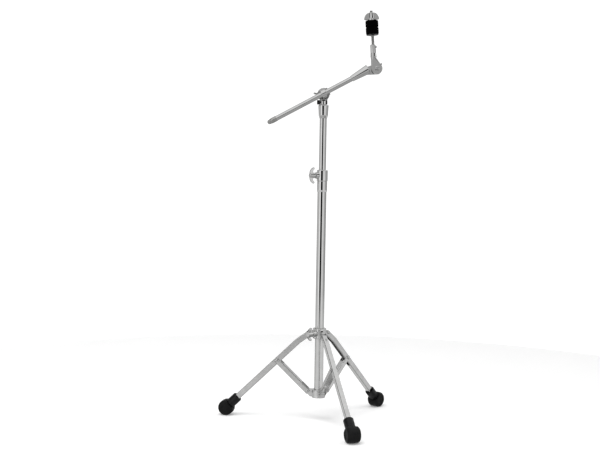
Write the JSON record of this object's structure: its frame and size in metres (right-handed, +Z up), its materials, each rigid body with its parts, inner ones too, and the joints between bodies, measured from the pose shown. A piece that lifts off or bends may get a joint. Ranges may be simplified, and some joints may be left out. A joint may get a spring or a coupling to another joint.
{
  "type": "cymbal boom stand",
  "caption": "Folding floor stand with a sliding mast, a tilting and sliding boom arm, and a felt-padded rod that carries a cymbal.",
  "frame": {"origin": "on the floor, under the middle of the whole stand's outline", "axes": "+Z up along the mast; +X towards the boom's raised end; the picture looks along +Y. The mast axis stands at x 0.0444 m, y 0.0243 m"},
  "size_m": [0.4902, 0.5106, 1.1558],
  "materials": {
    "chrome": "polished chrome plate on tubes and castings",
    "pressed_steel": "softer chrome plate on pressed and stamped steel",
    "dark_zinc": "dull grey zinc plate, satin",
    "black_steel": "black oxide steel, satin",
    "black_plastic": "moulded black plastic, satin",
    "rubber": "moulded black rubber, matte",
    "nylon": "natural nylon",
    "felt": "pressed black felt"
  },
  "bodies": {
    "base": {"base_tube": "chrome", "base_end_plug": "black_plastic", "bottom_hub": "pressed_steel", "height_clamp_body": "chrome", "height_clamp_bush": "nylon"},
    "height_wing_screw": {"height_wing_screw": "chrome"},
    "collar": {"leg_collar": "chrome", "collar_bush": "nylon", "leg_pin_left": "chrome", "leg_pin_front": "chrome", "leg_pin_rear": "chrome"},
    "collar_wing_screw": {"collar_wing_screw": "chrome"},
    "leg_left": {"leg_left": "pressed_steel", "brace_pin_left": "chrome", "foot_socket_left": "black_plastic", "rubber_foot_left": "rubber"},
    "brace_left": {"brace_left": "pressed_steel", "hub_rivet_left_1": "chrome", "hub_rivet_left_2": "chrome"},
    "leg_front": {"leg_front": "pressed_steel", "brace_pin_front": "chrome", "foot_socket_front": "black_plastic", "rubber_foot_front": "rubber"},
    "brace_front": {"brace_front": "pressed_steel", "hub_rivet_front_1": "chrome", "hub_rivet_front_2": "chrome"},
    "leg_rear": {"leg_rear": "pressed_steel", "brace_pin_rear": "chrome", "foot_socket_rear": "black_plastic", "rubber_foot_rear": "rubber"},
    "brace_rear": {"brace_rear": "pressed_steel", "hub_rivet_rear_1": "chrome", "hub_rivet_rear_2": "chrome"},
    "mast": {"mast_tube": "chrome", "mast_end_plug": "black_plastic", "tilter_ferrule": "chrome"},
    "tilter": {"tilter_base": "chrome", "tilter_clamp_screw": "black_steel", "tilter_lock_screw": "black_steel"},
    "boom_holder": {"boom_holder": "chrome", "tilter_eyebolt": "chrome", "tilter_washer": "pressed_steel"},
    "tilter_wing_nut": {"tilter_wing_nut": "chrome"},
    "boom": {"boom_tube": "chrome", "boom_end_cap": "dark_zinc", "boom_head": "chrome", "cymbal_tilter_bolt": "chrome"},
    "cymbal_tilter_wing_nut": {"cymbal_tilter_wing_nut": "chrome"},
    "cymbal_arm": {"cymbal_tilter_arm": "chrome", "rod_set_screw": "black_steel", "cymbal_rod": "dark_zinc", "seat_washer": "black_steel", "cymbal_sleeve": "black_plastic", "lower_felt": "felt"},
    "upper_felt": {"upper_felt": "felt"},
    "top_wing_nut": {"top_wing_nut": "chrome"}
  },
  "joints": [
    {"name": "collar_slide", "type": "slide", "parent": "base", "child": "collar", "axis": [0, 0, 1], "range_m": [0, 0.0781]},
    {"name": "leg_left_fold", "type": "hinge", "parent": "collar", "child": "leg_left", "pos_m": [0.01356, 0.02999, 0.24908], "axis": [-0.1822, -0.9833, 0], "range_deg": [0, 43.4]},
    {"name": "leg_front_fold", "type": "hinge", "parent": "collar", "child": "leg_front", "pos_m": [0.05491, -0.00533, 0.24908], "axis": [0.9426, 0.3338, 0], "range_deg": [0, 43.4]},
    {"name": "leg_rear_fold", "type": "hinge", "parent": "collar", "child": "leg_rear", "pos_m": [0.06482, 0.04814, 0.24908], "axis": [-0.7604, 0.6494, 0], "range_deg": [0, 43.4]},
    {"name": "brace_left_fold", "type": "hinge", "parent": "leg_left", "child": "brace_left", "pos_m": [-0.07482, 0.04637, 0.16614], "axis": [-0.1822, -0.9833, 0], "range_deg": [-86.8, 0]},
    {"name": "brace_front_fold", "type": "hinge", "parent": "leg_front", "child": "brace_front", "pos_m": [0.08492, -0.09006, 0.16614], "axis": [0.9426, 0.3338, 0], "range_deg": [-86.8, 0]},
    {"name": "brace_rear_fold", "type": "hinge", "parent": "leg_rear", "child": "brace_rear", "pos_m": [0.1232, 0.11649, 0.16614], "axis": [-0.7604, 0.6494, 0], "range_deg": [-86.8, 0]},
    {"name": "collar_wing_screw_turn", "type": "hinge", "parent": "collar", "child": "collar_wing_screw", "pos_m": [0.023, -0.00083, 0.24908], "axis": [-0.6494, -0.7604, 0], "range_deg": [0, 450]},
    {"name": "height_wing_screw_turn", "type": "hinge", "parent": "base", "child": "height_wing_screw", "pos_m": [0.02394, 0.01382, 0.696], "axis": [-0.891, -0.454, 0], "range_deg": [0, 450]},
    {"name": "height_slide", "type": "slide", "parent": "base", "child": "mast", "axis": [0, 0, 1], "range_m": [-0.14, 0.28]},
    {"name": "boom_swivel", "type": "hinge", "parent": "mast", "child": "tilter", "pos_m": [0.04443, 0.02426, 0.9], "axis": [0, 0, 1], "continuous": true},
    {"name": "boom_tilt", "type": "hinge", "parent": "tilter", "child": "boom_holder", "pos_m": [0.04443, 0.02426, 0.925], "axis": [0, 1, 0], "range_deg": [-60, 75]},
    {"name": "tilter_wing_nut_turn", "type": "hinge", "parent": "boom_holder", "child": "tilter_wing_nut", "pos_m": [0.04443, 0.03646, 0.925], "axis": [0, 1, 0], "range_deg": [0, 450]},
    {"name": "boom_slide", "type": "slide", "parent": "boom_holder", "child": "boom", "axis": [0.878, 0, 0.4787], "range_m": [-0.065, 0.13]},
    {"name": "cymbal_tilt", "type": "hinge", "parent": "boom", "child": "cymbal_arm", "pos_m": [0.19117, 0.00127, 0.99533], "axis": [0, 1, 0], "range_deg": [-30, 95]},
    {"name": "cymbal_tilter_wing_nut_turn", "type": "hinge", "parent": "boom", "child": "cymbal_tilter_wing_nut", "pos_m": [0.19117, 0.01086, 0.99533], "axis": [0, 1, 0], "range_deg": [0, 450]},
    {"name": "upper_felt_lift", "type": "slide", "parent": "cymbal_arm", "child": "upper_felt", "axis": [-0.075, 0, 0.9972], "range_m": [0, 0.01]},
    {"name": "top_wing_nut_turn", "type": "hinge", "parent": "upper_felt", "child": "top_wing_nut", "pos_m": [0.17431, -0.00173, 1.12884], "axis": [-0.075, 0, 0.9972], "range_deg": [0, 450]}
  ],
  "couplings": [
    {"joint": "leg_left_fold", "follows": "collar_slide", "rad_per_m": 9.6731},
    {"joint": "leg_front_fold", "follows": "collar_slide", "rad_per_m": 9.6731},
    {"joint": "leg_rear_fold", "follows": "collar_slide", "rad_per_m": 9.6731},
    {"joint": "brace_left_fold", "follows": "collar_slide", "rad_per_m": -19.346},
    {"joint": "brace_front_fold", "follows": "collar_slide", "rad_per_m": -19.346},
    {"joint": "brace_rear_fold", "follows": "collar_slide", "rad_per_m": -19.346}
  ]
}
